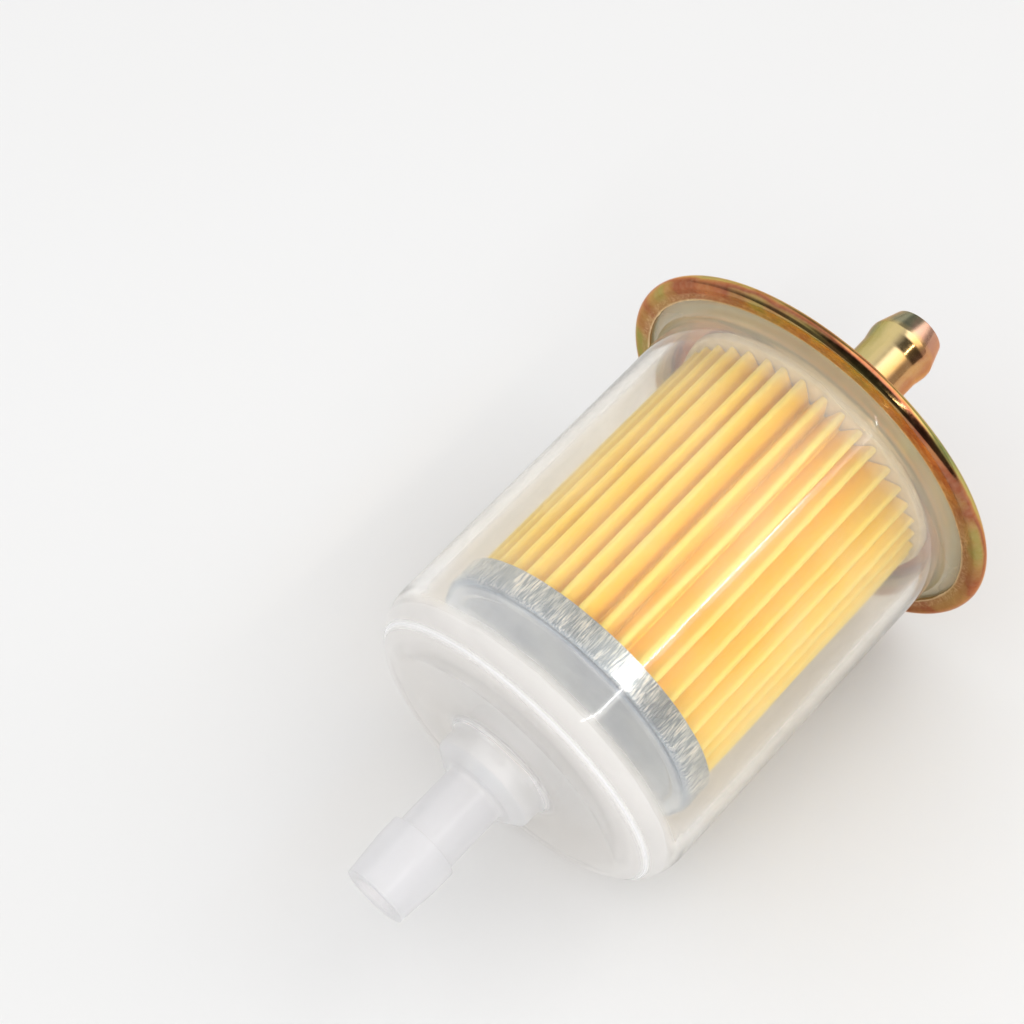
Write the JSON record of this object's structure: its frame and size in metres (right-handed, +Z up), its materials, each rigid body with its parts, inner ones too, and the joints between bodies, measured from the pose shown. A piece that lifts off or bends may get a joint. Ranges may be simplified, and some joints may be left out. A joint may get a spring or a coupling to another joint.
{
  "type": "fuel filter",
  "caption": "Inline fuel filter with a clear moulded housing and inlet barb, a pleated paper element, and a plated steel end cap with a rolled rim and an outlet barb.",
  "frame": {"origin": "centre of the bottom of the box around the filter, on the surface that it lies on, resting on the rolled rim and on the housing's bottom edge", "axes": "+X from the steel outlet barb towards the moulded inlet barb, seen from above; the filter's own axis dips 5.6 degrees below +X towards the inlet; +Y sideways; +Z up"},
  "size_m": [0.0952, 0.0518, 0.0516],
  "materials": {
    "clear_nylon": "clear, slightly hazy moulded nylon",
    "yellow_zinc_steel": "yellow passivated zinc plating, iridescent, semi-gloss",
    "black_rubber": "matte",
    "filter_paper": "resin-treated pleated paper, matte",
    "tinplate": "bright tinplate with fine draw marks",
    "potting_sealant": "cured plastisol, satin"
  },
  "bodies": {
    "root": {"housing_cup": "clear_nylon", "end_cap": "yellow_zinc_steel", "outlet_tube": "yellow_zinc_steel", "rim_gasket": "black_rubber", "pleated_media": "filter_paper", "media_seam_clip": "tinplate", "core_tube": "tinplate", "element_cap": "tinplate", "lower_potting": "potting_sealant", "upper_potting": "potting_sealant"}
  },
  "joints": []
}
